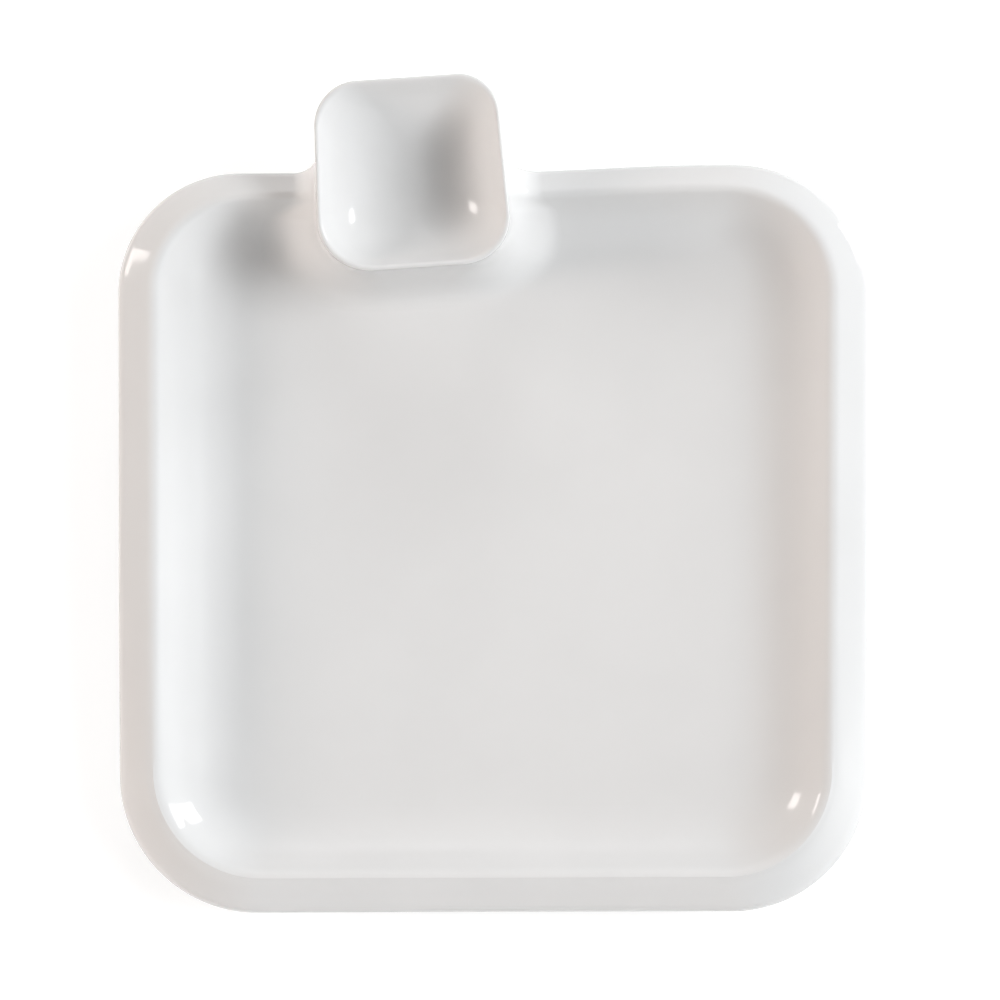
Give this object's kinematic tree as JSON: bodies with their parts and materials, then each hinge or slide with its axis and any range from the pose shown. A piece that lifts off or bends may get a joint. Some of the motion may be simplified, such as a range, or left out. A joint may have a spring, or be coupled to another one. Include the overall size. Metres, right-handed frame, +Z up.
{
  "type": "serving plate",
  "caption": "Square white porcelain serving plate with rounded corners, a ridged turned-down rim, a coved well, a standing ring and a square dip cup joined over the back rim.",
  "frame": {"origin": "middle of the whole footprint, cup included, on the surface that the plate stands on", "axes": "+Z up, +Y towards the back rim where the cup sits, +X to the right as seen from the front"},
  "size_m": [0.216, 0.2392, 0.035],
  "materials": {
    "plate_glaze": "glossy clear glaze over white porcelain",
    "cup_glaze": "glossy clear glaze over white porcelain",
    "fillet_glaze": "glossy clear glaze over joining slip",
    "bare_bisque": "unglazed fired clay, wiped and ground flat"
  },
  "bodies": {
    "root": {"plate_body": "plate_glaze", "sauce_cup": "cup_glaze", "slip_fillet": "fillet_glaze", "foot_ring": "bare_bisque"}
  },
  "joints": []
}
